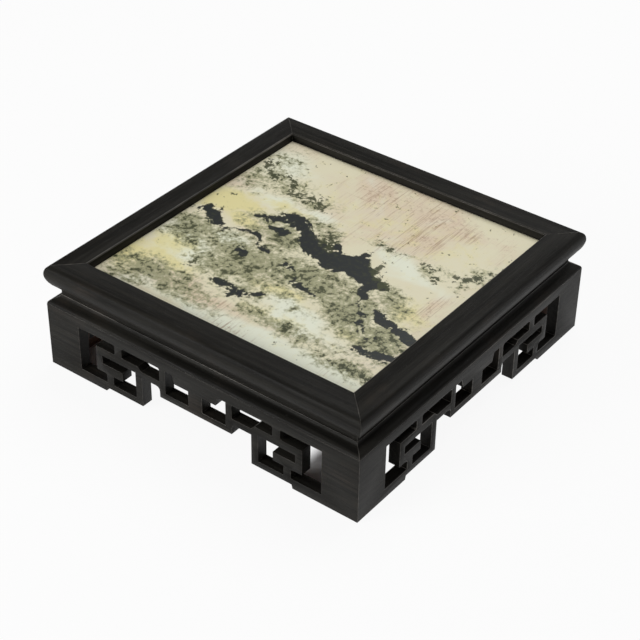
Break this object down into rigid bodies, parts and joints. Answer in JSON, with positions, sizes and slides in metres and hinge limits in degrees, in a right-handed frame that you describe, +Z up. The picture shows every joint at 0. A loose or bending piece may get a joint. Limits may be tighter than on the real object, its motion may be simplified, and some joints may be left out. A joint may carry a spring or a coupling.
{
  "type": "display stand",
  "caption": "Low square display stand with a sunk veined stone top, a moulded frame, a recessed waist and pierced fretwork aprons ending in bracket feet.",
  "frame": {"origin": "middle of the footprint, on the surface that the feet stand on", "axes": "+Z up; the front apron faces -Y and the right apron faces +X"},
  "size_m": [0.3008, 0.3008, 0.092],
  "materials": {
    "ebonised_wood": "satin black lacquer over hardwood, with rubbed arrises",
    "bare_wood": "unfinished reddish brown hardwood, on hidden faces and inner pieces",
    "veined_stone": "polished pale marble with green-black veining"
  },
  "bodies": {
    "root": {"frame_rail_front": "ebonised_wood", "waist_strip_front": "ebonised_wood", "shoulder_moulding_front": "ebonised_wood", "fret_apron_front": "ebonised_wood", "frame_rail_right": "ebonised_wood", "waist_strip_right": "ebonised_wood", "shoulder_moulding_right": "ebonised_wood", "fret_apron_right": "ebonised_wood", "frame_rail_back": "ebonised_wood", "waist_strip_back": "ebonised_wood", "shoulder_moulding_back": "ebonised_wood", "fret_apron_back": "ebonised_wood", "frame_rail_left": "ebonised_wood", "waist_strip_left": "ebonised_wood", "shoulder_moulding_left": "ebonised_wood", "fret_apron_left": "ebonised_wood", "corner_block_front_left": "bare_wood", "corner_block_front_right": "bare_wood", "corner_block_back_right": "bare_wood", "corner_block_back_left": "bare_wood", "stone_panel": "veined_stone", "backing_board": "bare_wood", "batten_left": "bare_wood", "batten_right": "bare_wood"}
  },
  "joints": []
}
